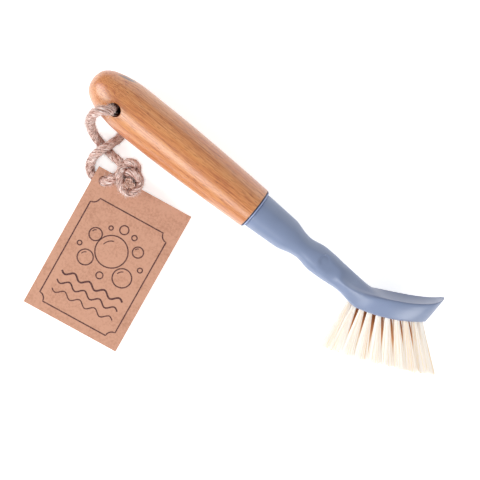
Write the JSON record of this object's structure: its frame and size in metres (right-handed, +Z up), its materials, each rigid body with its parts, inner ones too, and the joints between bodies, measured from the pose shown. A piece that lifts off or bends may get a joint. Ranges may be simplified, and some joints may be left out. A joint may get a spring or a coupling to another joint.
{
  "type": "dish brush",
  "caption": "Long dish brush lying on its side: oval bamboo handle with a corded hang hole, push-fit plastic neck and spoon-shaped head with trimmed tufts, kraft tag on the cord.",
  "frame": {"origin": "on the surface the brush lies on, below the middle of the brush's box (cord, knot and tag left out)", "axes": "+X along the handle from its tail to the head, +Z up from the surface, bristles towards -Y"},
  "size_m": [0.2552, 0.154, 0.0403],
  "materials": {
    "bamboo": "oiled satin, fine long grain",
    "insert_plastic": "satin",
    "head_plastic": "satin moulded",
    "anchor_wire": "drawn flat wire",
    "bristle_nylon": "trimmed filaments",
    "jute_cord": "twisted, fuzzy",
    "kraft_card": "matt kraft"
  },
  "bodies": {
    "handle": {"handle": "bamboo", "socket_insert": "insert_plastic", "hang_cord": "jute_cord", "cord_knot": "jute_cord"},
    "head": {"brush_head": "head_plastic", "anchor_staples": "anchor_wire", "tuft_01": "bristle_nylon", "tuft_02": "bristle_nylon", "tuft_03": "bristle_nylon", "tuft_04": "bristle_nylon", "tuft_05": "bristle_nylon", "tuft_06": "bristle_nylon", "tuft_07": "bristle_nylon", "tuft_08": "bristle_nylon", "tuft_09": "bristle_nylon", "tuft_10": "bristle_nylon", "tuft_11": "bristle_nylon", "tuft_12": "bristle_nylon", "tuft_13": "bristle_nylon", "tuft_14": "bristle_nylon", "tuft_15": "bristle_nylon", "tuft_16": "bristle_nylon", "tuft_17": "bristle_nylon", "tuft_18": "bristle_nylon", "tuft_19": "bristle_nylon", "tuft_20": "bristle_nylon", "tuft_21": "bristle_nylon", "tuft_22": "bristle_nylon", "tuft_23": "bristle_nylon", "tuft_24": "bristle_nylon", "tuft_25": "bristle_nylon", "tuft_26": "bristle_nylon", "tuft_27": "bristle_nylon", "tuft_28": "bristle_nylon", "tuft_29": "bristle_nylon", "tuft_30": "bristle_nylon", "tuft_31": "bristle_nylon", "tuft_32": "bristle_nylon", "tuft_33": "bristle_nylon", "tuft_34": "bristle_nylon", "tuft_35": "bristle_nylon", "tuft_36": "bristle_nylon", "tuft_37": "bristle_nylon"},
    "tag": {"hang_tag": "kraft_card"}
  },
  "joints": [
    {"name": "head_pull", "type": "slide", "parent": "handle", "child": "head", "axis": [1, 0, 0], "range_m": [0, 0.026]},
    {"name": "tag_swing", "type": "hinge", "parent": "handle", "child": "tag", "pos_m": [-0.0857, -0.03824, 0.00588], "axis": [0, 0, 1], "range_deg": [-10, 10]}
  ]
}
